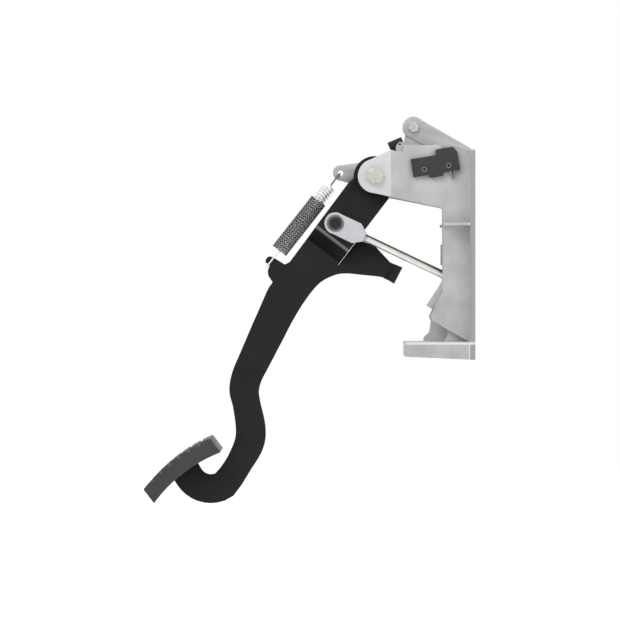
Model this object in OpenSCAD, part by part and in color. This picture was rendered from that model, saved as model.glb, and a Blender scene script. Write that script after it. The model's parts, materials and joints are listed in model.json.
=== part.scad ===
// Hanging clutch pedal assembly of a truck.
// X points to the firewall, Y to the driver's left, Z up, in millimetres.
// The origin is the centre of the four firewall bolts, on the flange's mounting face.

/* [Bracket flange] */
// Height of the firewall flange
flange_h = 216; // [208:1:230]
// Width of the firewall flange
flange_w = 84; // [80:1:100]
// Thickness of the firewall flange
flange_t = 5; // [4:0.5:8]
// Distance between the firewall bolts, side to side
bolt_dy = 64; // [60:1:68]
// Distance between the firewall bolts, up and down
bolt_dz = 144; // [130:1:150]
// Diameter of the firewall bolt holes
bolt_hole_d = 9; // [7:0.5:11]

/* [Bracket walls] */
// Clear width between the two walls
wall_gap = 32; // [31:0.5:34]
// Thickness of each wall
wall_t = 6; // [5:0.5:7]
// Depth of the walls, from the mounting face to their front edge
wall_depth = 32.2; // [30.5:0.1:34]
// Extra thickness of the cheek round the pivot bolt
cheek_boss_t = 2.5; // [2:0.5:3.5]
// Radius of the cheeks round the pivot bolt
cheek_r = 17.5; // [16:0.5:19]
// Thickness of the stiffening ribs
rib_t = 2.8; // [2.5:0.1:5]
// Height of the ribs' underside over the bolt pattern's centre
rib_up = 29.4; // [27:0.2:32]
// Height of the foot
foot_h = 17.5; // [16:0.5:20]
// Length of the foot from the mounting face
foot_l = 70.5; // [66:0.5:80]
// Wall thickness of the foot
foot_wall = 4; // [3:0.5:5]

/* [Pivot] */
// Distance of the pivot axis from the mounting face
pivot_back = 102; // [100:0.5:106]
// Height of the pivot axis over the bolt pattern's centre
pivot_up = 80.8; // [78:0.2:83]
// Thread diameter of the pivot bolt
pivot_bolt_d = 10; // [8:1:10]
// Width across flats of the pivot bolt's head and nut
pivot_hex = 16; // [15:1:17]
// Outer diameter of the spacer sleeve
sleeve_d = 14; // [13.5:0.5:15]
// Outer diameter of the bushes
bush_d = 20; // [19:0.5:21]
// Outer diameter of the welded hub tube
hub_tube_d = 28; // [26:0.5:29]
// Thickness of the bush flanges
bush_flange_t = 1.5; // [1:0.1:2]
// Radius of the arm's hub disc
hub_r = 21.6; // [20:0.2:22.4]

/* [Pedal arm] */
// Thickness of the arm's steel plate
arm_t = 8; // [6:0.5:9]
// Sideways offset of the lower plate from the hub
joggle = 18; // [17:0.5:20]
// Width of the upper strip
strip_w = 43.2; // [41:0.2:44]
// Distance from the pivot to the upper bend
bend_1 = 77.5; // [76:0.5:79]
// Distance from the pivot to the lower bend
bend_2 = 93; // [92:0.5:95]
// Width of the blade
blade_w = 30.5; // [27:0.5:33]
// Outer radius of the joggle's two bends
bend_r = 5; // [3:0.5:6]
// Full travel of the pedal in degrees
travel = 27.2; // [25:0.2:28]
// Gap left between the tail's stop face and the wall at full travel
stop_gap = 0.5; // [0.3:0.1:1]

/* [Foot pad] */
// Distance from the pivot to the middle of the tread
pad_reach = 358; // [356:0.5:361]
// Length of the pad along its curve
pad_l = 86; // [80:0.2:90]
// Width of the pad
pad_w = 84; // [60:1:95]
// Thickness of the rubber pad
pad_t = 17.4; // [15:0.2:18]
// Radius of the tread
pad_r = 170; // [150:5:200]
// Number of grooves across the tread
groove_n = 6; // [4:1:7]
// Thickness of the steel footplate
plate_t = 3; // [2:0.5:4]

/* [Pushrod] */
// Distance from the pivot to the stud
rod_lever = 63; // [62:0.5:64]
// Length from the stud to the pushrod's tip
rod_l = 140; // [136:1:144]
// Diameter of the pushrod
rod_d = 8; // [7:0.5:9]
// Slope of the pushrod below the horizontal, in degrees
rod_slope = 25.4; // [25:0.2:26]
// Width of the pushrod's eye
eye_w = 22.4; // [20:0.2:24]
// Thickness of the pushrod's eye
eye_t = 4.5; // [4:0.5:5]
// Diameter of the stud that carries the eye
stud_d = 11; // [9:0.5:11.5]
// Outer diameter of the bush in the eye
eye_bush_d = 14; // [13:0.5:15]

/* [Master cylinder pad] */
// Slope of the cylinder axis below the horizontal, in degrees
cyl_slope = 33.2; // [32:0.2:34]
// Thickness of the cylinder pad
cyl_pad_t = 6.5; // [5:0.5:8]
// Diameter of the spigot bore
cyl_bore = 26; // [22:0.5:27]
// Circle of the two cylinder bolts
cyl_pcd = 50; // [46:0.5:52]
// Diameter of the cylinder bolt holes
cyl_hole_d = 8.4; // [7:0.1:9]

/* [Return spring] */
// Wire diameter
wire_d = 1.8; // [1.6:0.1:2]
// Outer diameter of the coil
coil_d = 15; // [14:0.2:15.4]
// Number of turns
turns = 25; // [20:1:26]
// Distance from the lug hole to the first turn
coil_start = 19; // [17:0.5:21]
// Length of the coil
coil_l = 84; // [80:1:85]
// Bore of the sleeve
sleeve_bore = 15.8; // [15.8:0.1:16.6]
// Wall thickness of the sleeve
sleeve_wall = 0.9; // [0.6:0.1:1.2]
// Length of the sleeve
sleeve_l = 66; // [60:1:68]

/* [Switch] */
// Distance from the pivot to the switch's front end
switch_x = 39; // [38.5:0.5:41]
// Length of the switch
switch_l = 48.2; // [47:0.2:50]
// Height of the switch
switch_h = 18.4; // [18:0.2:20]
// Thickness of the switch
switch_t = 17.5; // [16:0.5:18]
// Distance between the two fixing rivets
switch_pitch = 25.4; // [24:0.2:26]
// How far the switch stands out of the wall
switch_out = 5.3; // [5:0.1:6]
// Diameter of the plunger
plunger_d = 4; // [3:0.1:4]
// Travel of the plunger over the pedal's full travel
plunger_travel = 2.3; // [1.5:0.1:3]
// Radius of the cam under the plunger, at rest
cam_r = 32; // [30:0.5:33]

/* [Small fixings] */
// Radius of the upper ear
ear_r = 11.2; // [10:0.2:13]
// Thread diameter of the ear bolt
ear_bolt_d = 6; // [5:1:6]
// Width across flats of the ear bolt's head and nut
ear_hex = 10; // [9:0.5:11]
// Thickness of the rubber rest buffer
buffer_t = 7.8; // [7:0.2:8.4]

/* [Hidden] */
$fn = 64;
eps = 0.01;

// Named clearances
run_gap = 0.05;
weld_gap = 0.02;
bolt_gap = 0.25;
soft_gap = 0.3;
side_gap = 0.15;

// Pivot and the walls on either side of it
pivot = [-pivot_back, pivot_up];
wall_in = wall_gap / 2;
wall_out = wall_in + wall_t;
cheek_out = wall_out + cheek_boss_t;
flange_in = -flange_t;
wall_edge = -wall_depth;
flange_top = flange_h / 2;
flange_low = -flange_h / 2;
foot_top = flange_low + foot_h + 1;
foot_bolt_in = 18;

// Straight edges of the cheeks, as slopes in degrees
cheek_top_slope = 23.8;
cheek_low_slope = -12.2;
bridge_top = pivot_up + 32;
bridge_t = 5;
bridge_start = 30;
far_inset = 1.4;
stop_pad = 0.3;

// Draft on the outside of the near wall's top: from and to height, and its depth
draft_from = 25.5;
draft_to = 33;
draft_in = 3.5;
draft_end = -34;

// Upper strip of the arm: its direction, and its sideways offset from the pivot
strip_dir = -127.4;
strip_shift = 3.8;
strip_half = strip_w / 2;
slit_end = bend_2 + 2;
slit_w = 0.3;
slit_at = strip_shift + strip_half + slit_w / 2;
notch = [-88, -87.7];
web_top = strip_pt(61, strip_half + slit_w);

// The lower plate lies beside the strip
lower_in = joggle - arm_t / 2;
lower_out = joggle + arm_t / 2;

// Tail with its stop face, which meets the wall edge squarely at full travel
tail_reach = pivot_back - wall_depth - stop_pad - stop_gap;
tail_top = -69.8;
tail_low = -88.6;
stop_flange_in = rod_d / 2 + 4;

// Stud in the arm and the pushrod's eye on it, on the arm's near face
pin_angle = -130.2;
pin_at = rod_lever * [cos(pin_angle), sin(pin_angle)];
eye_in = -(arm_t / 2 + soft_gap);
eye_out = eye_in - eye_t;
eye_flange_t = 1.2;
eye_taper = 24.6;
eye_block = 31.3;
eye_l = 33.8;
eye_nose = 4.6;
eye_wall = 1;
clip_t = 1;
stud_head_d = 15;

// Spring: lug hole and hook seat, measured from the pivot
lug_hole = [-34.9, 5.3];
lug_hole_d = 5.6;
hook_gap = 0.9;
lug_t = 4;
hook_seat = [-110, -90.2];
spring_run = hook_seat - lug_hole;
spring_l = norm(spring_run);
spring_dir = atan2(spring_run[1], spring_run[0]);
coil_r = (coil_d - wire_d) / 2;
upper_loop_r = 4.5;
hook_drop = 2.9;
sleeve_start = coil_start + coil_l + 0.2 - sleeve_l;

// Foot pad: the tread's middle lies pad_reach from the pivot
pad_angle = -125.41;
pad_slope = 37.5;
pad_mid = pad_reach * [cos(pad_angle), sin(pad_angle)];
pad_down = [sin(pad_slope), -cos(pad_slope)];
pad_axis = pad_mid + pad_r * pad_down;
groove_depth = 2.2;
groove_w = 3;
plate_depth = 10.5;
lip = 6;
plate_inset = 3;

// Switch: its long axis points at the pivot
switch_tilt = 9.3;
switch_low = -7.7;
switch_front = -(wall_out + switch_out);
switch_back = switch_front + switch_t;
rivet_x = switch_x + 11.8;
rivet_z = -1.9;
rivet_d = 4;
pocket_floor = 3;
pocket_rim = 3;
plunger_y = -(wall_in - plunger_d / 2 - 1.6);
cam_t = plunger_d;

// Ear and buffer, measured from the pivot
ear_at = [41, 52.6];
ear_t = 8;
buffer_at = [13.7, 35.4];
buffer_slope = 23;
buffer_l = 15;
buffer_half = 6;
buffer_foot_dir = 57.4;
nose_dir = buffer_foot_dir + 0.7;
nose_r = 27;
nipple_at = [25.8, 33];
nipple_d = 2;

// Corners that lie on a disc are drawn this far inside it
tuck = 0.2;

// Point at distance r from the origin, in the direction a
function polar(r, a) = r * [cos(a), sin(a)];

// Point of the strip's own frame: s along the strip, w across it to the right
function strip_pt(s, w) = polar(s, strip_dir) + polar(w + strip_shift, strip_dir + 90);

// Point of the tail's stop frame: n towards the wall, t up along the stop face
function tail_pt(n, t) = polar(n, -travel) + polar(t, 90 - travel);

// End of the tail, as thick as the plate
function tail_end() = [
  tail_pt(tail_reach - arm_t, tail_low + 0.5), tail_pt(tail_reach, tail_low),
  tail_pt(tail_reach, tail_top), tail_pt(tail_reach - arm_t, tail_top - 0.5)
];

// Point near the hook seat: a past the seat along the spring, b across it to the right
function hook_pt(a, b) = hook_seat + polar(a, spring_dir) + polar(b, spring_dir + 90);

// Points of an arc round a centre
function arc(c, r, a0, a1, n) = [for (i = [0:n]) c + polar(r, a0 + (a1 - a0) * i / n)];

// One point of a smooth curve between p1 and p2
function blend_pt(p0, p1, p2, p3, t) =
  0.5 * (2 * p1 + (p2 - p0) * t + (2 * p0 - 5 * p1 + 4 * p2 - p3) * t * t
         + (3 * p1 - p0 - 3 * p2 + p3) * t * t * t);

// A smooth curve through the points, with n steps between each two
function smooth(p, n) = [
  for (i = [0:len(p) - 2])
    for (k = [0:n - 1])
      blend_pt(p[max(i - 1, 0)], p[i], p[i + 1], p[min(i + 2, len(p) - 1)], k / n),
  p[len(p) - 1]
];

function reversed(p) = [for (i = [len(p) - 1:-1:0]) p[i]];

// Direction of a list of points at its i-th point
function heading(p, i) =
  let (d = p[min(i + 1, len(p) - 1)] - p[max(i - 1, 0)]) atan2(d[1], d[0]);

// The edge of a band round a centre line, whose points hold x, z and half width
function band_edge(p, side) = [
  for (i = [0:len(p) - 1])
    [p[i][0], p[i][1]] + side * polar(p[i][2], heading(p, i) + 90)
];

// Centre line of the S-shaped blade: x, z and half width. It ends in an arc
blade_half = blade_w / 2;
toe_at = [-170.3, -297.7];
toe_r = 26.7;
blade_line = concat(
  smooth([
    [-110.6, -160, blade_half + 2.6],
    [-124.8, -190, blade_half + 1.3],
    [-132.6, -207, blade_half + 0.6],
    [-135.5, -221.5, blade_half + 0.2],
    [-133, -236, blade_half - 0.8],
    [-128.8, -260, blade_half + 0.2],
    [-130.4, -277.5, blade_half + 0.2],
    [-140.7, -297.7, blade_half - 1.3],
    [-149.4, -311.6, blade_half - 1]
  ], 5),
  [for (p = arc(toe_at, toe_r, -60, -148, 9)) [p[0], p[1], blade_half - 0.3]],
  [[-201.5, -297.5, blade_half]]
);

// Puts what follows at the pivot, in the vertical plane, from y0 to y1
module slab(y0, y1) {
  translate([pivot[0], y1, pivot[1]]) rotate([90, 0, 0])
    linear_extrude(y1 - y0) children();
}

// The same at the origin of the whole part
module plain_slab(y0, y1) {
  translate([0, y1, 0]) rotate([90, 0, 0]) linear_extrude(y1 - y0) children();
}

// A round bar along Y through the point p, measured from the pivot
module cross_bar(p, d, y0, y1) {
  translate([pivot[0] + p[0], y1, pivot[1] + p[1]]) rotate([90, 0, 0])
    cylinder(d = d, h = y1 - y0);
}

// A hexagon along Y through the point p, turned by a
module cross_hex(p, flats, y0, y1, a = 0) {
  translate([pivot[0] + p[0], y1, pivot[1] + p[1]]) rotate([90, 0, 0]) rotate(a)
    cylinder(d = flats / cos(30), h = y1 - y0, $fn = 6);
}

// Height of the cheek's straight lower edge at the distance x from the pivot
function cheek_low(x) = x * tan(cheek_low_slope) - cheek_r / cos(cheek_low_slope);

// Cheek round the pivot with its two straight edges, up to the distance x; the lower
// one ends higher by the inset
module cheek_outline(x, inset) {
  circle(r = cheek_r);
  polygon([
    [0, 0],
    polar(cheek_r - tuck, cheek_top_slope + 90),
    [16.7, 27],
    [21, 25.5],
    [x, 25.5],
    [x, cheek_low(x) + inset],
    polar(cheek_r - tuck, cheek_low_slope - 90)
  ]);
}

// Lower front edge of the walls, from the wall edge down past the cylinder pad
function wall_foot_edge(inset) = concat(
  [[wall_edge + inset, -38]],
  smooth([[-38.3, -49], [-42.2, -58.4], [-44.5, -63.5], [-42.5, -68.3]], 4)
);

// Outline both walls share: the arm to the cheek and the tall part at the flange. The
// inset sets a wall's front edge and underside back
module wall_outline(inset) {
  edge = wall_edge + inset;
  arm_low = pivot_up + cheek_low(wall_edge - pivot[0]) + inset;
  translate(pivot) cheek_outline(pivot_back - wall_depth + 2, inset);
  polygon(concat(
    [[edge, arm_low - 1.5], [edge - 1.5, arm_low]],
    [[pivot[0] + bridge_start, pivot_up + 20]],
    [[pivot[0] + bridge_start, bridge_top]],
    [[-9, bridge_top], [0, flange_top - 1], [0, foot_top - 1.5], [-4, foot_top - 1]],
    reversed(wall_foot_edge(inset))
  ));
}

// The far wall reaches down to the foot and carries the ear and the spring lug
module far_wall_outline() {
  ear = pivot + ear_at;
  wall_outline(far_inset);
  polygon([[-42.5, -68.3], [-44.3, -80], [-50.2, -85.6], [-50.2, foot_top], [0, foot_top],
           [0, -60]]);
  polygon([[pivot[0] + bridge_start, bridge_top - 4], ear + [-8.5, -8], ear,
           [-9, bridge_top]]);
}

module ear_outline() {
  ear = pivot + ear_at;
  tip = [-4, bridge_top + 0.5];
  rise = atan2(ear[1] - tip[1], tip[0] - ear[0]);
  translate(ear) circle(r = ear_r);
  polygon([ear + polar(ear_r - tuck, 90 - rise), ear + polar(ear_r - tuck, -142),
           ear + [8, -17],
           [-20, bridge_top - 4], tip]);
}

module lug_outline() {
  translate(lug_hole) circle(r = 8);
  polygon([lug_hole + polar(8 - tuck, 112), [-15.8, 15.8], [0, 0], [-14, -9],
           lug_hole + polar(8 - tuck, -100)]);
}

// Section of a wall seen from above: thick at the cheek, then stepping back
module wall_section() {
  fold = pivot[0] + 15.5;
  polygon([[pivot[0] - 30, wall_in], [0, wall_in], [0, wall_out],
           [fold + 20, wall_out], [fold, cheek_out], [pivot[0] - 30, cheek_out]]);
}

// A wall: its outline cut to its section; side is -1 for the near wall
module wall(side) {
  intersection() {
    plain_slab(-cheek_out - 1, cheek_out + 1) children();
    translate([0, 0, -150]) mirror([0, side < 0 ? 1 : 0, 0])
      linear_extrude(400) wall_section();
  }
}

// Where the switch sits: pedestal frame that points from the pivot along the switch
module at_switch() {
  translate([pivot[0], 0, pivot[1]]) rotate([0, -switch_tilt, 0]) children();
}

// Extruded outline in the switch's frame, from y0 to y1
module switch_slab(y0, y1) {
  at_switch() translate([0, y1, 0]) rotate([90, 0, 0]) linear_extrude(y1 - y0) children();
}

module switch_outline(grow) {
  low = switch_low - grow;
  high = switch_low + switch_h + grow;
  x0 = switch_x - grow;
  x1 = switch_x + switch_l + grow;
  polygon([
    [x0, low], [switch_x + 15.7 - grow, low], [switch_x + 17.8 - grow, low - 3.4],
    [switch_x + 30 + grow, low - 3.4], [switch_x + 31.8 + grow, low], [x1, low],
    [x1, high - 0.2], [x1 - 3.6, high + 5.9], [switch_x + 27.2 - grow, high + 5.9],
    [switch_x + 26.2 - grow, high], [x0, high]
  ]);
}

// Pocket in the near wall that holds the rear half of the switch
module switch_pocket() {
  switch_slab(-wall_in - eps, switch_back + side_gap + pocket_floor)
    switch_outline(side_gap + pocket_rim);
}

module switch_hollow() {
  switch_slab(-wall_out - 10, switch_back + side_gap) switch_outline(side_gap);
  at_switch() {
    translate([switch_x - 10, plunger_y, 0]) rotate([0, 90, 0])
      cylinder(d = plunger_d + 2 * soft_gap, h = 12);
    for (x = [rivet_x, rivet_x + switch_pitch])
      translate([x, 0, rivet_z]) rotate([90, 0, 0])
        cylinder(d = rivet_d + bolt_gap, h = 30);
  }
}

// Frame of the cylinder pad: X along the cylinder axis, which passes the rod's tip
pin_world = pivot + pin_at;
rod_unit = polar(1, -rod_slope);
cyl_unit = polar(1, -cyl_slope);
cyl_face = -11.2;
rod_tip = pin_world + rod_l * rod_unit;
cyl_at = rod_tip + (cyl_face - rod_tip * cyl_unit) * cyl_unit;

module at_cylinder() {
  translate([cyl_at[0], 0, cyl_at[1]]) rotate([0, cyl_slope, 0]) children();
}

module cylinder_pad() {
  at_cylinder() translate([0, -wall_in - 1, -38])
    cube([cyl_pad_t, wall_gap + 2, 72]);
}

module cylinder_pad_holes() {
  at_cylinder() rotate([0, 90, 0]) {
    translate([0, 0, -1]) cylinder(d = cyl_bore, h = cyl_pad_t + 2);
    for (s = [-1, 1])
      translate([s * cyl_pcd / 2, 0, -1]) cylinder(d = cyl_hole_d, h = cyl_pad_t + 2);
  }
}

module flange() {
  r = 6;
  translate([-flange_t, 0, 0]) rotate([90, 0, 90]) linear_extrude(flange_t)
    difference() {
      union() {
        square([flange_w, flange_h - 2 * r], center = true);
        square([flange_w - 2 * r, flange_h], center = true);
        for (y = [-1, 1], z = [-1, 1])
          translate([y * (flange_w / 2 - r), z * (flange_h / 2 - r)]) circle(r = r);
      }
      for (y = [-1, 1], z = [-1, 1])
        translate([y * bolt_dy / 2, z * bolt_dz / 2]) circle(d = bolt_hole_d);
      flange_window();
    }
}

// Window that the master cylinder and the pushrod pass through
module flange_window() {
  r = 8;
  low = -66;
  high = -2;
  half = wall_in - 1;
  translate([-half + r, low]) square([2 * (half - r), high - low]);
  translate([-half, low + r]) square([2 * half, high - low - 2 * r]);
  for (y = [-1, 1], z = [low + r, high - r])
    translate([y * (half - r), z]) circle(r = r);
}

// Foot: a shell open below, with its upper edges rounded
module foot() {
  r = 3;
  w = flange_w / 2;
  low = flange_low;
  high = foot_top;
  difference() {
    union() {
      translate([-foot_l, -w, low]) cube([foot_l, 2 * w, high - low - r]);
      translate([-foot_l, -w + r, low]) cube([foot_l, 2 * (w - r), high - low]);
      for (y = [-1, 1])
        translate([-foot_l, y * (w - r), high - r]) rotate([0, 90, 0])
          cylinder(r = r, h = foot_l);
    }
    translate([-foot_l + foot_wall, -w + foot_wall, low - 1])
      cube([foot_l - foot_wall - flange_t, 2 * (w - foot_wall), high - low + 1 - foot_wall]);
    for (y = [-1, 1])
      translate([foot_bolt_in - foot_l, y * (w - 14), low]) cylinder(d = bolt_hole_d, h = 40);
    rotate([90, 0, 0]) translate([0, 0, -100]) linear_extrude(200)
      polygon([[-foot_l - 1, low - 1], [1, low - 1], [0, low], [-foot_l - 1, low + 3.2]]);
  }
}

module ribs() {
  for (side = [-1, 1]) {
    y0 = side < 0 ? -flange_w / 2 : wall_out - 1;
    translate([wall_edge, y0, rib_up]) cube([-wall_edge, flange_w / 2 - wall_out + 1, rib_t]);
  }
  // Corner web between the wall, the flange and the foot
  plain_slab(-wall_in + 2, -wall_in + 6)
    polygon(concat([[-3, foot_top - 1], [-3, foot_top + 14]],
                   arc([-37, foot_top + 8], 10, 45, -52, 8)));
}

module buffer_lug() {
  slab(-wall_in - 1, -wall_in + 3)
    polygon([[21.8, 24], [30.7, 24], [30.7, 31.5], [29.4, 34.4], [25.5, 35.6],
             [21.8, 31.3]]);
}

// Raised face on the far wall's edge that the tail meets
module stop_face() {
  slab(wall_in, wall_out)
    polygon([[tail_reach + stop_gap, tail_low - 2], [tail_reach + stop_gap, tail_top],
             [tail_reach + stop_gap + 4, tail_top + 1], [tail_reach + stop_gap + 4, tail_low - 3]]);
}

// What the draft takes off the outside of the near wall's top
module wall_draft() {
  x0 = pivot[0] + bridge_start - 1;
  translate([x0, 0, pivot[1]]) rotate([90, 0, 90]) linear_extrude(draft_end - x0)
    polygon([[-wall_out - 4, draft_from], [-wall_out - eps, draft_from],
             [-wall_out + draft_in, draft_to], [-wall_out - 4, draft_to]]);
}

module pedal_bracket() {
  color("#b9b9b8") difference() {
    union() {
      flange();
      foot();
      ribs();
      wall(-1) wall_outline(0);
      wall(1) far_wall_outline();
      plain_slab(wall_out - ear_t, wall_out) ear_outline();
      slab(wall_in, wall_in + lug_t) lug_outline();
      translate([pivot[0] + bridge_start, -wall_in - 1, bridge_top - bridge_t])
        cube([pivot_back - bridge_start - 9, wall_gap + 2, bridge_t]);
      cylinder_pad();
      switch_pocket();
      buffer_lug();
      stop_face();
    }
    wall_draft();
    cross_bar([0, 0], pivot_bolt_d + 2 * bolt_gap, -cheek_out - 1, cheek_out + 1);
    cross_bar(ear_at, ear_bolt_d + 2 * bolt_gap, 0, wall_out + 1);
    cross_bar(lug_hole, lug_hole_d, wall_in - 1, wall_in + lug_t + 1);
    cross_bar(nipple_at, nipple_d + 0.2, -wall_in - 2, -wall_in + 4);
    cylinder_pad_holes();
    switch_hollow();
  }
}

module pivot_bolt() {
  head_t = 6.4;
  face_d = pivot_hex - 0.4;
  color("#cfcdc0") {
    cross_bar([0, 0], pivot_bolt_d, -cheek_out, cheek_out + 12);
    intersection() {
      cross_hex([0, 0], pivot_hex, -cheek_out - head_t, -cheek_out, 10);
      translate([pivot[0], -cheek_out, pivot[1]]) rotate([90, 0, 0])
        cylinder(d1 = face_d + 2 * head_t / tan(30), d2 = face_d, h = head_t);
    }
  }
}

module pivot_washer() {
  color("#cfcdc0") difference() {
    cross_bar([0, 0], pivot_hex + 4, cheek_out, cheek_out + 2);
    cross_bar([0, 0], pivot_bolt_d + 2 * bolt_gap, cheek_out - 1, cheek_out + 3);
  }
}

module pivot_nut() {
  color("#cfcdc0") difference() {
    cross_hex([0, 0], pivot_hex, cheek_out + 2, cheek_out + 10, 10);
    cross_bar([0, 0], pivot_bolt_d + 2 * run_gap, cheek_out, cheek_out + 11);
  }
}

module pivot_sleeve() {
  color("#a9abad") difference() {
    cross_bar([0, 0], sleeve_d, -wall_in, wall_in);
    cross_bar([0, 0], pivot_bolt_d + 2 * bolt_gap, -wall_in - 1, wall_in + 1);
  }
}

hub_end = wall_in - side_gap - bush_flange_t;

module hub_tube() {
  color("#2a2a2c") difference() {
    cross_bar([0, 0], hub_tube_d, -hub_end, hub_end);
    cross_bar([0, 0], bush_d + 2 * weld_gap, -hub_end - 1, hub_end + 1);
  }
}

module hub_bush(side) {
  l = 11;
  y0 = side < 0 ? -hub_end : hub_end - l;
  f0 = side < 0 ? -wall_in + side_gap : hub_end;
  difference() {
    union() {
      cross_bar([0, 0], bush_d, y0, y0 + l);
      cross_bar([0, 0], hub_tube_d - 1, f0, f0 + bush_flange_t);
    }
    cross_bar([0, 0], sleeve_d + 2 * run_gap, -wall_in - 1, wall_in + 1);
  }
}

module hub_bushes() {
  color("#d9d4c2") {
    hub_bush(-1);
    hub_bush(1);
  }
}

// Longer than anything that the arm is cut from
reach = 400;

// Sides of the joggle: what is cut away before the arm and behind it, as distance
// along the strip and Y
joggle_slope = atan2(joggle, bend_2 - bend_1);
joggle_back = arm_t * tan(joggle_slope / 2);
bend_in = 1.5;

// Arc of radius r that rounds the corner b between a and c
function rounded(a, b, c, r) =
  let (u = (a - b) / norm(a - b), v = (c - b) / norm(c - b), half = acos(u * v) / 2,
       m = b + (u + v) / norm(u + v) * r / sin(half),
       p = b + u * r / tan(half) - m, q = b + v * r / tan(half) - m,
       a0 = atan2(p[1], p[0]), turn = atan2(p[0] * q[1] - p[1] * q[0], p * q))
  arc(m, r, a0, a0 + turn, 5);

module before_arm() {
  near = -arm_t / 2;
  polygon(concat(
    [[-60, near - 10], [-60, near]],
    rounded([-60, near], [bend_1, near], [bend_2, lower_in], bend_r),
    rounded([bend_1, near], [bend_2, lower_in], [reach, lower_in], bend_in),
    [[reach, lower_in], [reach, near - 10]]
  ));
}

module behind_arm() {
  far = arm_t / 2;
  s1 = bend_1 - joggle_back;
  s2 = bend_2 - joggle_back;
  polygon(concat(
    [[-60, lower_out + 10], [-60, far]],
    rounded([-60, far], [s1, far], [s2, lower_out], bend_in),
    rounded([s1, far], [s2, lower_out], [reach, lower_out], bend_r),
    [[reach, lower_out + eps], [reach, lower_out + 10]]
  ));
}

// Extrudes across the strip, between two distances from the pivot line
module across_strip(w0, w1) {
  translate([pivot[0], 0, pivot[1]]) rotate([0, -strip_dir, 0])
    translate([0, 0, w0]) linear_extrude(w1 - w0) children();
}

// Hub disc, stop nose and upper strip, as one outline round the pivot
module strip_outline() {
  circle(r = hub_r);
  polygon([[0, 0], polar(hub_r - tuck, 82), polar(nose_r - 1, nose_dir + 5),
           polar(nose_r, nose_dir)]);
  polygon([strip_pt(-6, 10), strip_pt(9, strip_half), strip_pt(slit_end, strip_half),
           strip_pt(slit_end + 12, 8), notch, strip_pt(20, -strip_half),
           polar(hub_r - tuck, 182), [0, 0]]);
}

// The flat lower plate: web, spring horn, tail and blade
module lower_outline() {
  left = band_edge(blade_line, -1);
  right = band_edge(blade_line, 1);
  horn = [
    hook_pt(-10.4, 13.4), hook_pt(-8.6, -1.5), hook_pt(-7.2, -4.4), hook_pt(-4.7, -5.6),
    hook_pt(-1.5, -5.2), hook_pt(0.8, -3.6), hook_pt(0, -2.2), hook_pt(0, 1.4),
    hook_pt(2.5, 2.2), hook_pt(6, 3.6), hook_pt(9.4, 7), hook_pt(11.4, 12.5),
    hook_pt(11.9, 14.6)
  ];
  polygon(concat(
    [notch],
    horn,
    smooth([hook_pt(14.4, 15), [-111.1, -116.9], [-121.2, -140], left[0]], 4),
    left,
    reversed(right),
    smooth([right[0], [-84.4, -148.3], [-71.6, -127.6], [-57, -110], [-42, -101.8],
            [-29.2, -99.7], [-11.9, -101.25], [6.4, -103.2],
            tail_pt(tail_reach - arm_t - 1, tail_low + 0.3)], 5),
    tail_end(),
    [tail_pt(tail_reach - 13.7, tail_top - 0.9), [1.8, -71.9], web_top],
    [strip_pt(slit_end, strip_half + slit_w), strip_pt(slit_end, strip_half),
     strip_pt(slit_end + 2, 0)]
  ));
}

// A stretch of the pad's curve, l long, between two depths below the tread
module pad_sector(d0, d1, l) {
  translate(pad_axis) rotate(pad_slope) intersection() {
    difference() {
      circle(r = pad_r - d0, $fn = 180);
      circle(r = pad_r - d1, $fn = 180);
    }
    translate([-l / 2, 0]) square([l, 1.3 * pad_r]);
  }
}

module pedal_arm() {
  color("#2a2a2c") difference() {
    union() {
      difference() {
        slab(-arm_t / 2, lower_out) {
          strip_outline();
          lower_outline();
        }
        across_strip(-reach, reach) before_arm();
        across_strip(-reach, slit_at) behind_arm();
        across_strip(slit_at, reach) translate([hub_r, -arm_t])
          square([reach, lower_in + arm_t]);
      }
      slab(stop_flange_in, lower_in + 1) polygon(tail_end());
    }
    slab(0, 60) pad_sector(-20, plate_depth + plate_t + weld_gap, pad_l + 10);
    cross_bar([0, 0], hub_tube_d + 2 * weld_gap, -arm_t, arm_t);
    cross_bar(pin_at, stud_d + 2 * weld_gap, -arm_t, arm_t);
  }
}

// Cam whose radius falls as the pedal turns, so the plunger comes out steadily
module switch_cam() {
  steps = 12;
  ring_r = hub_tube_d / 2 + 4;
  low = -travel + switch_tilt - 6;
  high = switch_tilt + 8;
  lobe = [for (i = [0:steps]) let (a = low + (high - low) * i / steps)
          polar(cam_r - soft_gap
                - plunger_travel * min(max((switch_tilt - a) / travel, 0), 1), a)];
  color("#2a2a2c") difference() {
    slab(plunger_y - cam_t / 2, plunger_y + cam_t / 2)
      polygon(concat(arc([0, 0], ring_r, switch_tilt + 60, 305 - travel, 30), lobe));
    cross_bar([0, 0], hub_tube_d + 2 * weld_gap, -wall_in, 0);
  }
}

module rod_stud() {
  end = eye_out - eye_flange_t - clip_t - 1;
  groove = eye_out - eye_flange_t - clip_t;
  color("#1d1d1f") difference() {
    union() {
      cross_bar(pin_at, stud_d, end, arm_t / 2);
      cross_bar(pin_at, stud_head_d, arm_t / 2, arm_t / 2 + 2);
    }
    difference() {
      cross_bar(pin_at, stud_d + 2, groove, groove + clip_t);
      cross_bar(pin_at, stud_d - 1.6, groove - 1, groove + clip_t + 1);
    }
    cross_bar(pin_at, stud_d - 5, end - 1, end + 1);
  }
}

module stud_clip() {
  groove = eye_out - eye_flange_t - clip_t;
  color("#2b2b2d") difference() {
    cross_bar(pin_at, stud_d + 2.4, groove + run_gap, groove + clip_t - run_gap);
    cross_bar(pin_at, stud_d - 1.6 + 2 * weld_gap, groove - 1, groove + clip_t + 1);
  }
}

module footplate() {
  color("#2f2f31") slab(joggle - pad_w / 2 + plate_inset, joggle + pad_w / 2 - plate_inset)
    pad_sector(plate_depth, plate_depth + plate_t, pad_l - 2 * plate_inset);
}

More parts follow.
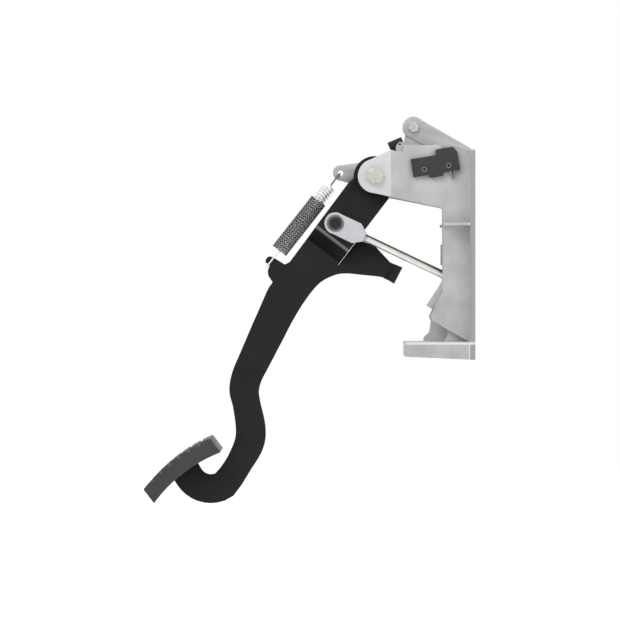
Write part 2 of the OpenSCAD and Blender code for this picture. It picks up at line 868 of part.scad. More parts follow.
module pedal_pad() {
  pitch = pad_l / (groove_n + 1);
  color("#3a3a3a") difference() {
    slab(joggle - pad_w / 2, joggle + pad_w / 2) pad_sector(0, pad_t, pad_l);
    slab(joggle - pad_w / 2 + plate_inset - weld_gap,
         joggle + pad_w / 2 - plate_inset + weld_gap)
      pad_sector(plate_depth - weld_gap, plate_depth + plate_t + weld_gap,
                 pad_l - 2 * plate_inset + 2 * weld_gap);
    slab(joggle - pad_w / 2 + lip, joggle + pad_w / 2 - lip)
      pad_sector(plate_depth, pad_t + 5, pad_l - 2 * lip);
    for (i = [1:groove_n])
      translate([pivot[0] + pad_axis[0], joggle, pivot[1] + pad_axis[1]])
        rotate([0, -(90 + pad_slope) + (i * pitch - pad_l / 2) / pad_r * 180 / PI, 0])
          translate([pad_r - groove_depth, -pad_w, -groove_w / 2])
            cube([groove_depth * 3, 2 * pad_w, groove_w]);
  }
}

// Frame of the pushrod: X along it from the stud
module at_rod() {
  translate([pivot[0] + pin_at[0], 0, pivot[1] + pin_at[1]]) rotate([0, rod_slope, 0])
    children();
}

// The eye: a flat plate on the arm's near face, which ends in a block round the rod
module rod_eye() {
  r = eye_w / 2;
  color("#c9c8cc") difference() {
    at_rod() {
      translate([0, eye_in, 0]) rotate([90, 0, 0]) linear_extrude(eye_t) {
        circle(r = r);
        polygon([[0, r - tuck], [0, -r + tuck], [eye_taper, -r], [eye_l, -eye_nose],
                 [eye_l, eye_nose], [eye_taper, r]]);
      }
      translate([eye_block, eye_in - 0.5, -eye_nose])
        cube([eye_l - eye_block, rod_d / 2 + eye_wall - eye_in + 0.5, 2 * eye_nose]);
    }
    at_rod() rotate([0, 90, 0]) cylinder(d = rod_d + 2 * weld_gap, h = 60);
    cross_bar(pin_at, eye_bush_d + 2 * weld_gap, -20, 20);
  }
}

module eye_bush() {
  color("#7b7b7c") difference() {
    union() {
      cross_bar(pin_at, eye_bush_d, eye_out, eye_in);
      cross_bar(pin_at, eye_bush_d + 3.6, eye_out - eye_flange_t + side_gap, eye_out);
    }
    cross_bar(pin_at, stud_d + 2 * run_gap, -20, 20);
  }
}

module pushrod() {
  color("#c4c9be") at_rod() {
    translate([eye_block + 0.4, 0, 0]) rotate([0, 90, 0])
      cylinder(d = rod_d, h = rod_l - eye_block - 0.4 - rod_d / 2);
    translate([rod_l - rod_d / 2, 0, 0]) sphere(d = rod_d);
  }
}

// Wire of the spring, as points along it: across, depth and distance from the lug
hook_end = spring_l + hook_drop;
upper_seat = lug_hole_d / 2 - wire_d / 2 - hook_gap;
coil_steps = 18;
coil_end = coil_start + coil_l;

upper_hook = concat(
  [[0, upper_loop_r, 6], [0, upper_loop_r, 3]],
  [for (i = [0:6]) [0, upper_loop_r * cos(30 * i),
                    upper_seat + upper_loop_r - upper_loop_r * sin(30 * i)]],
  [[0, -upper_loop_r, 8], [0, -upper_loop_r, 13], [0.6, -coil_r, coil_start - 1.4]]
);
coil = [for (i = [1:turns * coil_steps])
        let (a = 360 * i / coil_steps)
        [coil_r * sin(a), -coil_r * cos(a), coil_start + coil_l * i / coil_steps / turns]];
lower_hook = concat(
  [[0.6, -coil_r, coil_end + 1.8], [0, -coil_r, coil_end + 5], [0, -coil_r, hook_end - 10]],
  [for (i = [0:6]) [0, -coil_r * cos(30 * i), hook_end - coil_r + coil_r * sin(30 * i)]],
  [[0, coil_r, hook_end - 10]]
);
wire = concat(upper_hook, coil, lower_hook);

function unit(v) = v / norm(v);

// Frames along the wire: each carries its side direction on from the one before
function wire_dir(i) = unit(wire[min(i + 1, len(wire) - 1)] - wire[max(i - 1, 0)]);
wire_sides = [for (i = 0, s = [1, 0, 0]; i < len(wire);
                   i = i + 1, s = i < len(wire) ? unit(s - (s * wire_dir(i)) * wire_dir(i)) : s)
              unit(s - (s * wire_dir(i)) * wire_dir(i))];

module wire_sweep(n) {
  rings = len(wire);
  points = [for (i = [0:rings - 1]) let (s = wire_sides[i], b = cross(wire_dir(i), s))
            for (k = [0:n - 1]) wire[i] + wire_d / 2 * (cos(360 * k / n) * s
                                                        + sin(360 * k / n) * b)];
  quads = [for (i = [0:rings - 2], k = [0:n - 1])
           [i * n + k, i * n + (k + 1) % n, (i + 1) * n + (k + 1) % n, (i + 1) * n + k]];
  first = [for (k = [n - 1:-1:0]) k];
  last = [for (k = [0:n - 1]) (rings - 1) * n + k];
  polyhedron(points, concat([first], quads, [last]));
}

// Frame of the spring: Z from the lug hole to the hook seat, Y away from the camera
module at_spring() {
  translate([pivot[0] + lug_hole[0], wall_in + lug_t / 2, pivot[1] + lug_hole[1]])
    rotate([0, 90 - spring_dir, 0]) children();
}

module return_spring() {
  color("#c9cacb") at_spring() wire_sweep(6);
}

module spring_sleeve() {
  color("#57585a") at_spring() translate([0, 0, sleeve_start]) difference() {
    cylinder(d = sleeve_bore + 2 * sleeve_wall, h = sleeve_l);
    translate([0, 0, -1]) cylinder(d = sleeve_bore, h = sleeve_l + 2);
  }
}

module switch_body() {
  color("#414143") difference() {
    switch_slab(switch_front, switch_back) switch_outline(0);
    at_switch() {
      translate([switch_x - 1, plunger_y, 0]) rotate([0, 90, 0])
        cylinder(d = plunger_d + 2 * run_gap, h = 13);
      for (x = [rivet_x, rivet_x + switch_pitch])
        translate([x, 0, rivet_z]) rotate([90, 0, 0])
          cylinder(d = rivet_d + bolt_gap, h = 40);
    }
  }
}

module switch_plunger() {
  r = cam_r;
  color("#d8d8d4") at_switch() translate([r, plunger_y, 0]) rotate([0, 90, 0]) {
    cylinder(d1 = plunger_d - 1.6, d2 = plunger_d, h = 0.8);
    translate([0, 0, 0.8 - eps]) cylinder(d = plunger_d, h = switch_x - r + 6.5);
  }
}

// Hollow rivets that hold the switch in its pocket, flared at both ends
module switch_rivets() {
  l = switch_t + side_gap + pocket_floor;
  color("#b9b9b4") at_switch()
    for (x = [rivet_x, rivet_x + switch_pitch])
      translate([x, switch_front, rivet_z]) rotate([-90, 0, 0]) difference() {
        union() {
          cylinder(d = rivet_d, h = l);
          translate([0, 0, -0.8]) cylinder(d = rivet_d + 1.6, h = 0.8);
          translate([0, 0, l]) cylinder(d = rivet_d + 1.6, h = 0.8);
        }
        translate([0, 0, -1]) cylinder(d = rivet_d - 0.8, h = l + 2);
      }
}

module switch_terminals() {
  color("#c8c4b4") at_switch()
    for (x = [switch_x + switch_l - 10.2, switch_x + switch_l - 7])
      translate([x, switch_front + 0.2, switch_low - 8]) cube([0.8, 4.8, 8]);
}

module stop_buffer() {
  h = buffer_half;
  color("#1c1c1d") {
    slab(-h, h) {
      translate(buffer_at) rotate(buffer_slope) translate([0, -buffer_t])
        square([buffer_l, buffer_t]);
      polygon([buffer_at + polar(buffer_t, buffer_slope - 90), polar(31, buffer_foot_dir),
               polar(22.4, buffer_foot_dir), [16, 17.5], [24, 22], [26, 31]]);
    }
    cross_bar(nipple_at, nipple_d, -wall_in - 1.6, -h + 1);
    cross_bar(nipple_at, 3 * nipple_d, -wall_in + 3, -h + 1);
  }
}

module ear_bolt() {
  y = wall_out - ear_t;
  color("#cfcdc0") {
    cross_bar(ear_at, ear_bolt_d, y - 0.5, wall_out + 8);
    cross_hex(ear_at, ear_hex, y - 4, y, 15);
  }
}

module ear_nut() {
  color("#cfcdc0") difference() {
    cross_hex(ear_at, ear_hex, wall_out, wall_out + 5, 15);
    cross_bar(ear_at, ear_bolt_d + 2 * run_gap, wall_out - 1, wall_out + 6);
  }
}

pedal_bracket();
pivot_bolt();
pivot_nut();
pivot_washer();
pivot_sleeve();
stop_buffer();
ear_bolt();
ear_nut();
switch_body();
switch_rivets();
switch_terminals();
switch_plunger();
pedal_arm();
hub_tube();
hub_bushes();
switch_cam();
rod_stud();
footplate();
pedal_pad();
rod_eye();
eye_bush();
stud_clip();
pushrod();
return_spring();
spring_sleeve();
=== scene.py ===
import json
import math

import bmesh
import bpy
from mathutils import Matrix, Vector


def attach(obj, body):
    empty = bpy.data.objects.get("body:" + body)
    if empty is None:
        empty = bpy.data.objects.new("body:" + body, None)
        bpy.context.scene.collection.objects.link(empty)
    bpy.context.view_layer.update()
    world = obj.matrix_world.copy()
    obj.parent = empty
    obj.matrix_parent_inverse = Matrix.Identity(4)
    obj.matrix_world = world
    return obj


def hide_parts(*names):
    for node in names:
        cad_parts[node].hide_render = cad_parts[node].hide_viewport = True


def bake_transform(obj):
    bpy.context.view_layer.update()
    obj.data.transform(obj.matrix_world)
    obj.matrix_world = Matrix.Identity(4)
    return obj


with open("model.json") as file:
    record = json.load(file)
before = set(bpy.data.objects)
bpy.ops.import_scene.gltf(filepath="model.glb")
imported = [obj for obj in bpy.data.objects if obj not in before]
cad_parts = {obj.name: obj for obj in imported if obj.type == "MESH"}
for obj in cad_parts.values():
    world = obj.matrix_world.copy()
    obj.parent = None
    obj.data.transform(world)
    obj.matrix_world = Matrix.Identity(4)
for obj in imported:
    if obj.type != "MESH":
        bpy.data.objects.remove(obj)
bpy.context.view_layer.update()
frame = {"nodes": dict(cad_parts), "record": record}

MM = 0.001
PIVOT = Vector((-0.102, 0, 0.0808))
NODES = frame["nodes"]
BODY_OF = {name: body for body, names in frame["record"]["behaviour"]["bodies"].items()
           for name in names}


# Materials
def new_material(name):
    """A material with its node tree and its shader."""
    m = bpy.data.materials.new(name)
    m.use_nodes = True
    tree = m.node_tree
    shader = tree.nodes["Principled BSDF"]
    return m, tree, shader


def link(tree, a, b):
    tree.links.new(a, b)


def noise(tree, scale, detail=3.0, rough=0.5, stretch=None):
    """Noise over the object's own coordinates, stretched along an axis if asked."""
    coords = tree.nodes.new("ShaderNodeTexCoord")
    n = tree.nodes.new("ShaderNodeTexNoise")
    n.inputs["Scale"].default_value = scale
    n.inputs["Detail"].default_value = detail
    n.inputs["Roughness"].default_value = rough
    if stretch:
        mapping = tree.nodes.new("ShaderNodeMapping")
        mapping.inputs["Scale"].default_value = stretch
        link(tree, coords.outputs["Object"], mapping.inputs["Vector"])
        link(tree, mapping.outputs["Vector"], n.inputs["Vector"])
    else:
        link(tree, coords.outputs["Object"], n.inputs["Vector"])
    return n.outputs["Fac"]


def ramp(tree, fac, stops):
    """A colour ramp through stops of place and colour."""
    r = tree.nodes.new("ShaderNodeValToRGB")
    while len(r.color_ramp.elements) < len(stops):
        r.color_ramp.elements.new(0.5)
    for e, (at, colour) in zip(r.color_ramp.elements, stops):
        e.position = at
        e.color = (*colour, 1)
    link(tree, fac, r.inputs["Fac"])
    return r.outputs["Color"]


def scalar(tree, fac, low, high, a=0.3, b=0.7):
    """Maps fac from a..b to low..high, clamped."""
    m = tree.nodes.new("ShaderNodeMapRange")
    m.inputs["From Min"].default_value = a
    m.inputs["From Max"].default_value = b
    m.inputs["To Min"].default_value = low
    m.inputs["To Max"].default_value = high
    link(tree, fac, m.inputs["Value"])
    return m.outputs["Result"]


def bump(tree, shader, height, strength, distance=0.0002):
    """A bump on the shader's normal."""
    b = tree.nodes.new("ShaderNodeBump")
    b.inputs["Strength"].default_value = strength
    b.inputs["Distance"].default_value = distance
    link(tree, height, b.inputs["Height"])
    link(tree, b.outputs["Normal"], shader.inputs["Normal"])


def along(tree, origin, direction, length=1.0):
    """Distance from origin along a direction of the object's own frame, over length."""
    coords = tree.nodes.new("ShaderNodeTexCoord")
    shift = tree.nodes.new("ShaderNodeVectorMath")
    shift.operation = "SUBTRACT"
    shift.inputs[1].default_value = origin
    link(tree, coords.outputs["Object"], shift.inputs[0])
    dot = tree.nodes.new("ShaderNodeVectorMath")
    dot.operation = "DOT_PRODUCT"
    dot.inputs[1].default_value = tuple(Vector(direction).normalized() / length)
    link(tree, shift.outputs["Vector"], dot.inputs[0])
    return dot.outputs["Value"]


def over(tree, base, fac, colour):
    """Lays a colour over a base colour where fac is one."""
    m = tree.nodes.new("ShaderNodeMix")
    m.data_type = "RGBA"
    m.inputs["B"].default_value = (*colour, 1)
    link(tree, fac, m.inputs["Factor"])
    link(tree, base, m.inputs["A"])
    return m.outputs["Result"]


def band(tree, value, low, high, soft=0.3):
    """One where the value lies between low and high."""
    return times(tree, scalar(tree, value, 0, 1, low, low + soft),
                 scalar(tree, value, 1, 0, high - soft, high))


def times(tree, a, b):
    """The product of two values."""
    m = tree.nodes.new("ShaderNodeMath")
    m.operation = "MULTIPLY"
    link(tree, a, m.inputs[0])
    link(tree, b, m.inputs[1])
    return m.outputs["Value"]


def surface(name, dark, light, rough, metallic=0.0, scale=60, grain=900, grain_strength=0.2,
            stretch=None, spec=0.5, layers=()):
    """A mottled material: dark to light base, rough as a pair, fine grain as bump."""
    m, tree, shader = new_material(name)
    big = noise(tree, scale, 4, 0.6)
    base = ramp(tree, big, [(0.3, dark), (0.7, light)])
    for layer in layers:
        base = layer(tree, base)
    link(tree, base, shader.inputs["Base Color"])
    fine = noise(tree, grain, 2, 0.5, stretch)
    link(tree, scalar(tree, fine, rough[0], rough[1]), shader.inputs["Roughness"])
    shader.inputs["Metallic"].default_value = metallic
    shader.inputs["Specular IOR Level"].default_value = spec
    bump(tree, shader, fine, grain_strength)
    return m


def heading(degrees):
    """Unit direction in the XZ plane, from +X up towards +Z."""
    a = math.radians(degrees)
    return Vector((math.cos(a), 0, math.sin(a)))


STRIP = heading(-127.4)
ROD = heading(-25.4)
ROD_UP = Vector((-ROD.z, 0, ROD.x))
PIN = PIVOT + 63 * MM * heading(-130.2)
ROD_R = 4 * MM

# The arm's near face, its offset in the joggle, and where the joggle starts down the
# strip, in mm from the pivot
ARM_FACE = -4 * MM
JOGGLE = 18 * MM
JOGGLE_START = 75.0
BLACK_MASK, WHITE_MASK = (0, 0, 0), (1, 1, 1)

# Zones of the casting in mm: height of the foot's top, depth of the boss, and the
# near edge of the flange
FOOT_TOP = -88.0
BOSS_NEAR = 24.3
FLANGE_NEAR = 40


def painted_joggle_shade_and_highlight(tree, base):
    """Painted shade darkens the joggle's slope, and a painted highlight lightens its first
    bend.
    """
    depth = along(tree, (0, ARM_FACE, 0), (0, 1, 0), JOGGLE)
    down = along(tree, PIVOT, STRIP, MM)
    inside = scalar(tree, down, 0, 1, JOGGLE_START, JOGGLE_START + 1)
    slope_shade = ramp(tree, depth, [(0.05, BLACK_MASK), (0.15, WHITE_MASK), (0.93, WHITE_MASK),
                               (0.97, BLACK_MASK)])
    bend_highlight = ramp(tree, depth, [(0.0, BLACK_MASK), (0.008, WHITE_MASK),
                              (0.07, (0.75, 0.75, 0.75)), (0.13, BLACK_MASK)])
    # Painted shade: the joggle's slope is laid near black
    base = over(tree, base, times(tree, slope_shade, inside), (0.0010, 0.0010, 0.0012))
    # Painted highlight: a light band along the joggle's first bend
    return over(tree, base, times(tree, bend_highlight, inside), (0.20, 0.20, 0.203))


def painted_rod_reflections(tree, base):
    """Painted dark reflection along the rod's upper side, and a thin painted shade line along
    its lower side.
    """
    up = along(tree, PIN, ROD_UP, ROD_R)
    top_reflection = scalar(tree, up, 0, 1, 0.1, 0.6)
    low = scalar(tree, up, 1, 0, -0.95, -0.7)
    # Painted dark reflection along the rod's upper side
    base = over(tree, base, top_reflection, (0.12, 0.135, 0.12))
    # Painted shade: a thin dark line along the rod's lower side
    return over(tree, base, low, (0.20, 0.22, 0.19))


def painted_cast_light_and_shade(tree, base):
    """Painted light on the cheek boss, painted shade on the flange's edge, and painted
    highlights beside that edge and under the foot's top.
    """
    near = along(tree, (0, 0, 0), (0, -1, 0), MM)
    right = along(tree, (0, 0, 0), (1, 0, 0), MM)
    up = along(tree, (0, 0, 0), (0, 0, 1), MM)
    at_edge = scalar(tree, near, 0, 1, FLANGE_NEAR, FLANGE_NEAR + 1)
    boss_light = times(tree, scalar(tree, near, 0, 1, BOSS_NEAR, BOSS_NEAR + 0.2),
                 scalar(tree, up, 0, 1, 40, 44))
    edge_shade = times(tree, scalar(tree, right, 0, 1, -5.6, -5.1), at_edge)
    edge_highlight = times(tree, band(tree, right, -6.6, -5.5), at_edge)
    foot_highlight = times(tree, band(tree, up, FOOT_TOP - 4.6, FOOT_TOP - 1.6),
                     scalar(tree, near, 0, 1, 24, 28))
    # Painted light: the cheek boss is laid paler
    base = over(tree, base, boss_light, (0.70, 0.70, 0.695))
    # Painted shade: the flange's edge face is laid darker
    base = over(tree, base, edge_shade, (0.36, 0.365, 0.36))
    # Painted highlight: a bright line beside the flange's edge
    base = over(tree, base, edge_highlight, (0.80, 0.80, 0.80))
    # Painted highlight: a bright band under the foot's top edge
    return over(tree, base, foot_highlight, (0.78, 0.78, 0.775))


CAST = surface("cast_aluminium", (0.46, 0.46, 0.455), (0.60, 0.60, 0.595), (0.45, 0.62),
               metallic=0.12, scale=38, grain=1500, grain_strength=0.3,
               layers=[painted_cast_light_and_shade])
ARM = surface("black_coated_steel", (0.0115, 0.0115, 0.0125), (0.0155, 0.0155, 0.0165),
              (0.46, 0.60), scale=35, grain=1500, grain_strength=0.1, spec=0.16,
              layers=[painted_joggle_shade_and_highlight])
BLACK = surface("black_fitting", (0.0115, 0.0115, 0.012), (0.017, 0.017, 0.018), (0.36, 0.5),
                scale=90, grain=1500, grain_strength=0.1, spec=0.3)
PLATED = surface("plated_steel", (0.50, 0.49, 0.45), (0.62, 0.61, 0.56), (0.34, 0.52),
                 metallic=0.35, scale=260, grain=1300, grain_strength=0.35)
BRIGHT = surface("bright_zinc_steel", (0.66, 0.70, 0.64), (0.80, 0.84, 0.77), (0.20, 0.32),
                 metallic=0.75, scale=110, grain=900, grain_strength=0.06,
                 stretch=(0.1, 1, 1))
ROD_METAL = surface("pushrod_zinc", (0.66, 0.70, 0.64), (0.80, 0.84, 0.77), (0.20, 0.32),
                    metallic=0.6, scale=110, grain=900, grain_strength=0.06,
                    layers=[painted_rod_reflections])
EYE = surface("eye_zinc", (0.545, 0.545, 0.575), (0.62, 0.62, 0.65), (0.40, 0.55),
              metallic=0.25, scale=120, grain=1300, grain_strength=0.12)
DARK = surface("dark_steel", (0.03, 0.03, 0.031), (0.055, 0.055, 0.056), (0.35, 0.5),
               metallic=0.3, scale=200, grain=1200, grain_strength=0.1)
BUSH = surface("bush_polymer", (0.52, 0.48, 0.38), (0.62, 0.58, 0.47), (0.4, 0.55),
               scale=150, grain=900, grain_strength=0.05)
GREY = surface("grey_polymer", (0.12, 0.12, 0.12), (0.24, 0.24, 0.24), (0.4, 0.55),
               scale=420, grain=1200, grain_strength=0.1)
PAD = surface("pad_rubber", (0.022, 0.022, 0.022), (0.036, 0.036, 0.036), (0.40, 0.54),
              scale=60, grain=1600, grain_strength=0.25, spec=0.5)
BUFFER = surface("buffer_rubber", (0.008, 0.008, 0.008), (0.014, 0.014, 0.014), (0.4, 0.6),
                 scale=150, grain=1600, grain_strength=0.2, spec=0.35)
SWITCH = surface("switch_plastic", (0.030, 0.030, 0.032), (0.044, 0.044, 0.046), (0.42, 0.55),
                 scale=150, grain=1800, grain_strength=0.15, spec=0.3)
PLUNGER = surface("plunger_plastic", (0.55, 0.55, 0.53), (0.66, 0.66, 0.64), (0.35, 0.5),
                  scale=300, grain=1500, grain_strength=0.05)
LUG = PIVOT + MM * Vector((-34.9, 18, 5.3))
SEAT = PIVOT + MM * Vector((-110, 18, -90.2))
# Distances down the spring in mm over which the hook's painted shade fades out
HOOK_SHADE_SPAN = (16, 18)
SPRING_AXIS = (SEAT - LUG).normalized()


def painted_hook_shade(tree, base):
    """Painted shade darkens the hook at the lug, where the coil below it is bright."""
    down = along(tree, LUG, SPRING_AXIS, MM)
    # Painted shade on the hook near the lug
    return over(tree, base, scalar(tree, down, 1, 0, *HOOK_SHADE_SPAN), (0.12, 0.12, 0.12))


SPRING = surface("spring_steel", (0.66, 0.66, 0.66), (0.84, 0.84, 0.84), (0.2, 0.34),
                 metallic=0.8, scale=250, grain=1500, grain_strength=0.05,
                 layers=[painted_hook_shade])
BRAID = surface("sleeve_braid", (0.26, 0.26, 0.265), (0.48, 0.48, 0.485), (0.5, 0.7),
                scale=500, grain=2400, grain_strength=0.2, spec=0.3)
BRAID_DARK = surface("sleeve_braid_dark", (0.02, 0.02, 0.021), (0.045, 0.045, 0.047),
                     (0.5, 0.7), scale=500, grain=2400, grain_strength=0.2, spec=0.3)
RIVET = surface("rivet_steel", (0.13, 0.13, 0.13), (0.22, 0.22, 0.215), (0.3, 0.45),
                metallic=0.5, scale=300, grain=1500, grain_strength=0.05)
CONTACT = surface("contact_metal", (0.26, 0.25, 0.23), (0.34, 0.33, 0.30), (0.25, 0.4),
                  metallic=0.7, scale=300, grain=1500, grain_strength=0.05)

MATERIAL = {
    "pedal_bracket": CAST, "pivot_bolt": PLATED, "pivot_nut": PLATED, "pivot_washer": PLATED,
    "pivot_sleeve": BRIGHT, "stop_buffer": BUFFER, "ear_bolt": PLATED, "ear_nut": PLATED,
    "switch_body": SWITCH, "switch_rivets": RIVET, "switch_terminals": CONTACT,
    "switch_plunger": PLUNGER, "pedal_arm": ARM, "hub_tube": BLACK, "hub_bushes": BUSH,
    "switch_cam": BLACK, "rod_stud": BLACK, "footplate": BLACK, "pedal_pad": PAD,
    "rod_eye": EYE, "eye_bush": GREY, "stud_clip": DARK, "pushrod": ROD_METAL,
    "return_spring": SPRING, "spring_sleeve": BRAID,
}
for name, obj in NODES.items():
    obj.data.materials.clear()
    obj.data.materials.append(MATERIAL[name])


# Dressed copies: edges over SHARP_ANGLE degrees get a bevel, faces within FLAT_ANGLE
# degrees are joined first, and points within WELD metres too
SHARP_ANGLE = 32
FLAT_ANGLE = 0.5
WELD = 2e-6


def dress(name, width):
    """A bevelled, smoothly shaded copy of a CAD node that stands for it."""
    source = NODES[name]
    mesh = source.data.copy()
    obj = bpy.data.objects.new(name + "_dressed", mesh)
    bpy.context.scene.collection.objects.link(obj)
    obj.matrix_world = source.matrix_world.copy()
    bm = bmesh.new()
    bm.from_mesh(mesh)
    bmesh.ops.remove_doubles(bm, verts=bm.verts, dist=WELD)
    bmesh.ops.dissolve_limit(bm, angle_limit=math.radians(FLAT_ANGLE), verts=bm.verts,
                             edges=bm.edges, delimit={"MATERIAL"})
    for f in bm.faces:
        f.smooth = True
    bm.to_mesh(mesh)
    bm.free()
    m = obj.modifiers.new("bevel", "BEVEL")
    m.width = width
    m.segments = 2
    m.limit_method = "ANGLE"
    m.angle_limit = math.radians(SHARP_ANGLE)
    m.use_clamp_overlap = True
    m.harden_normals = True
    m.miter_outer = "MITER_ARC"
    bpy.context.view_layer.update()
    deps = bpy.context.evaluated_depsgraph_get()
    result = bpy.data.meshes.new_from_object(obj.evaluated_get(deps))
    obj.modifiers.clear()
    obj.data = result
    result.materials.clear()
    result.materials.append(MATERIAL[name])
    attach(obj, BODY_OF[name])
    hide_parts(name)


# Bevel widths in metres
for name, width in (("pedal_bracket", 0.0009), ("pedal_arm", 0.0007),
                    ("pivot_bolt", 0.0003), ("pivot_nut", 0.0004), ("pivot_washer", 0.0003),
                    ("ear_bolt", 0.0004), ("ear_nut", 0.0003), ("rod_eye", 0.0006),
                    ("stop_buffer", 0.0007), ("switch_body", 0.0005), ("pushrod", 0.0003),
                    ("eye_bush", 0.0003), ("footplate", 0.0004), ("pedal_pad", 0.0012),
                    ("switch_cam", 0.0003), ("hub_tube", 0.0003), ("rod_stud", 0.0005),
                    ("stud_clip", 0.0002), ("switch_rivets", 0.0002)):
    dress(name, width)


# Spring and sleeve, with distances down the spring counted from the lug
SPRING_SIDE = Vector((-SPRING_AXIS.z, 0, SPRING_AXIS.x))
SPRING_L = (SEAT - LUG).length
WIRE_R = 0.9 * MM
COIL_R = 6.6 * MM
LUG_HOLE_R = 2.8 * MM
HOOK_GAP = 0.9 * MM
UPPER_LOOP_R = 4.5 * MM
HOOK_DROP = 2.9 * MM
COIL_STEPS = 20
COIL_START = 19 * MM
COIL_END = 103 * MM
TURNS = 25
BRAID_R = 8.3 * MM
STRAND_R = 0.5 * MM
WEAVE = 0.25 * MM
STRANDS = 18
WINDS = 1.25
SLEEVE_L = 66 * MM
SLEEVE_START = COIL_END + 0.2 * MM - SLEEVE_L


def at_spring(side, depth, far):
    """A point of the spring's frame: across it, away from the camera, and down it."""
    return LUG + SPRING_SIDE * side + Vector((0, 1, 0)) * depth + SPRING_AXIS * far


def half_loop(radius, centre, sign):
    """Half a circle of wire in the plane of the hooks."""
    return [at_spring(0, -sign * radius * math.cos(math.pi * i / 10),
                      centre + sign * radius * math.sin(math.pi * i / 10)) for i in range(11)]


def spring_path():
    """Upper hook through the lug, the coil, and the lower hook round the horn."""
    r = UPPER_LOOP_R
    seat = LUG_HOLE_R - WIRE_R - HOOK_GAP
    pts = [at_spring(0, r, 6 * MM), at_spring(0, r, seat + r + 0.4 * MM)]
    pts += half_loop(r, seat + r, -1)
    pts += [at_spring(0, -r, seat + r + 2.5 * MM), at_spring(0, -r, 11 * MM),
            at_spring(0, -5.2 * MM, 14.5 * MM), at_spring(0.6 * MM, -COIL_R, 17.4 * MM)]
    steps = TURNS * COIL_STEPS
    for i in range(1, steps + 1):
        a = 2 * math.pi * i / COIL_STEPS
        pts.append(at_spring(COIL_R * math.sin(a), -COIL_R * math.cos(a),
                             COIL_START + (COIL_END - COIL_START) * i / steps))
    end = SPRING_L + HOOK_DROP
    pts += [at_spring(0.6 * MM, -COIL_R, COIL_END + 1.8 * MM),
            at_spring(0, -COIL_R, COIL_END + 5 * MM), at_spring(0, -COIL_R, end - 10 * MM)]
    pts += half_loop(COIL_R, end - COIL_R, 1)
    pts.append(at_spring(0, COIL_R, end - 10 * MM))
    return pts


def tube(path, radius, sides):
    """A closed tube along a path, with rings carried on from one point to the next."""
    verts, faces = [], []
    side = Vector((0, 1, 0))
    for i, p in enumerate(path):
        along_path = (path[min(i + 1, len(path) - 1)] - path[max(i - 1, 0)]).normalized()
        side = side - along_path * side.dot(along_path)
        if side.length < 1e-6:
            side = along_path.orthogonal()
        side.normalize()
        up = along_path.cross(side)
        for k in range(sides):
            a = 2 * math.pi * k / sides
            verts.append(p + radius * (math.cos(a) * side + math.sin(a) * up))
    for i in range(len(path) - 1):
        for k in range(sides):
            a, b = i * sides + k, i * sides + (k + 1) % sides
            faces.append((a, b, b + sides, a + sides))
    faces.append(tuple(range(sides - 1, -1, -1)))
    faces.append(tuple(range(len(verts) - sides, len(verts))))
    return verts, faces


def mesh_piece(name, verts, faces, material, slot):
    """A smoothly shaded mesh with its material; the slot argument is not used."""
    mesh = bpy.data.meshes.new(name)
    mesh.from_pydata([tuple(v) for v in verts], [], faces)
    mesh.materials.append(material)
    for p in mesh.polygons:
        p.use_smooth = True
    obj = bpy.data.objects.new(name, mesh)
    bpy.context.scene.collection.objects.link(obj)
    return obj


wire = mesh_piece("spring_wire", *tube(spring_path(), WIRE_R, 10), SPRING, "spring_steel")
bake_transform(wire)
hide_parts("return_spring")


def braid(sense):
    """The strands that wind round the sleeve in one sense, over and under the others."""
    verts, faces = [], []
    steps = 170
    for n in range(STRANDS):
        path = []
        for i in range(steps + 1):
            t = i / steps
            a = 2 * math.pi * (n / STRANDS + sense * WINDS * t)
            r = BRAID_R + WEAVE * sense * math.cos(2 * math.pi * STRANDS * WINDS * t)
            path.append(at_spring(r * math.sin(a), -r * math.cos(a),
                                  SLEEVE_START + SLEEVE_L * t))
        v, f = tube(path, STRAND_R, 5)
        base = len(verts)
        verts += v
        faces += [tuple(base + k for k in face) for face in f]
    return verts, faces


for name, sense, material in (("braid_light", 1, BRAID),
                              ("braid_dark", -1, BRAID_DARK)):
    strands = mesh_piece(name, *braid(sense), material, "sleeve_braid")
    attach(strands, "sleeve")
    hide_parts("spring_sleeve")


# Camera, light and stage
CAMERA_AT = (-0.1688, -2.6, -0.05705)
CAMERA_ANGLE = 14.1
FLOOR_GLOW = 0.55
SOFT_LIGHT = 0.55
PART_MIDDLE = Vector((-0.15, 0, -0.05))

cam_data = bpy.data.cameras.new("photo_camera")
cam_data.sensor_width = 36
cam_data.angle = math.radians(CAMERA_ANGLE)
cam_data.clip_end = 50
cam = bpy.data.objects.new("photo_camera", cam_data)
cam.location = CAMERA_AT
cam.rotation_euler = (math.radians(90), 0, 0)
bpy.context.scene.collection.objects.link(cam)
bpy.context.scene.camera = cam


def seen_rays(tree):
    """One for rays from the camera or off a glossy or clear surface, else nothing."""
    path = tree.nodes.new("ShaderNodeLightPath")
    value = path.outputs["Is Camera Ray"]
    for ray in ("Is Glossy Ray", "Is Transmission Ray"):
        m = tree.nodes.new("ShaderNodeMath")
        m.operation = "MAXIMUM"
        link(tree, value, m.inputs[0])
        link(tree, path.outputs[ray], m.inputs[1])
        value = m.outputs["Value"]
    return value


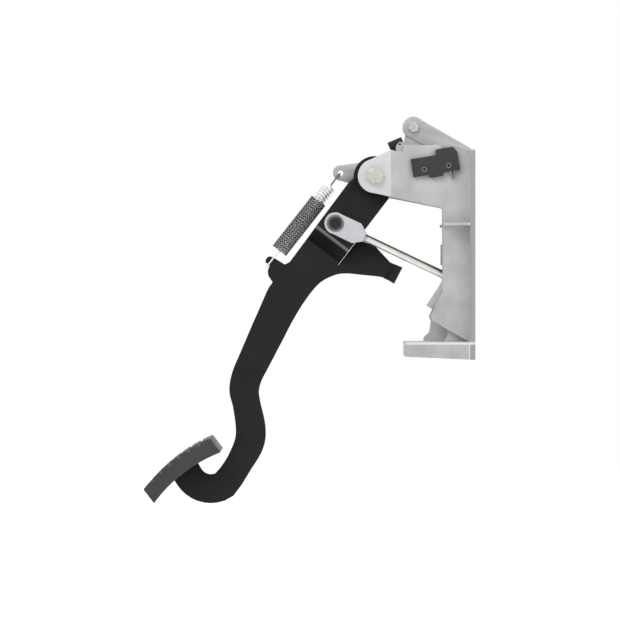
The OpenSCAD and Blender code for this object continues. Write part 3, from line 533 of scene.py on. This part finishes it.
FLOOR_Z = -0.42
bpy.ops.mesh.primitive_plane_add(size=6, location=(0, 0, FLOOR_Z))
floor = bpy.context.object
floor.name = "floor"
m, tree, shader = new_material("pale_floor")
out = tree.nodes["Material Output"]
seen = seen_rays(tree)
emission = tree.nodes.new("ShaderNodeEmission")
emission.inputs["Color"].default_value = (1, 1, 1, 1)
glow = tree.nodes.new("ShaderNodeMath")
glow.operation = "MULTIPLY"
glow.inputs[1].default_value = FLOOR_GLOW
link(tree, seen, glow.inputs[0])
link(tree, glow.outputs["Value"], emission.inputs["Strength"])
both = tree.nodes.new("ShaderNodeAddShader")
shader.inputs["Base Color"].default_value = (0.9, 0.9, 0.9, 1)
shader.inputs["Roughness"].default_value = 0.9
link(tree, shader.outputs["BSDF"], both.inputs[0])
link(tree, emission.outputs["Emission"], both.inputs[1])
link(tree, both.outputs["Shader"], out.inputs["Surface"])
floor.data.materials.append(m)

world = bpy.data.worlds.new("studio")
world.use_nodes = True
bpy.context.scene.world = world
wt = world.node_tree
bg = wt.nodes["Background"]
bg.inputs["Color"].default_value = (1, 1, 1, 1)
bg.inputs["Strength"].default_value = SOFT_LIGHT
white = wt.nodes.new("ShaderNodeBackground")
white.inputs["Color"].default_value = (1, 1, 1, 1)
white.inputs["Strength"].default_value = 1.0
wmix = wt.nodes.new("ShaderNodeMixShader")
link(wt, seen_rays(wt), wmix.inputs["Fac"])
link(wt, bg.outputs["Background"], wmix.inputs[1])
link(wt, white.outputs["Background"], wmix.inputs[2])
link(wt, wmix.outputs["Shader"], wt.nodes["World Output"].inputs["Surface"])


def area(name, size, power, at):
    """A round lamp of a size in metres and a power in watts, aimed at the part."""
    data = bpy.data.lights.new(name, "AREA")
    data.shape = "DISK"
    data.size = size
    data.energy = power
    o = bpy.data.objects.new(name, data)
    o.location = at
    o.rotation_euler = (PART_MIDDLE - Vector(at)).to_track_quat("-Z", "Y").to_euler()
    bpy.context.scene.collection.objects.link(o)


area("key", 1.2, 16, (-1.0, -1.6, 1.5))
area("fill", 1.4, 7, (1.3, -1.7, 0.4))
area("back", 1.2, 6, (0.3, 1.6, 1.3))

bpy.context.scene.view_settings.view_transform = "Standard"
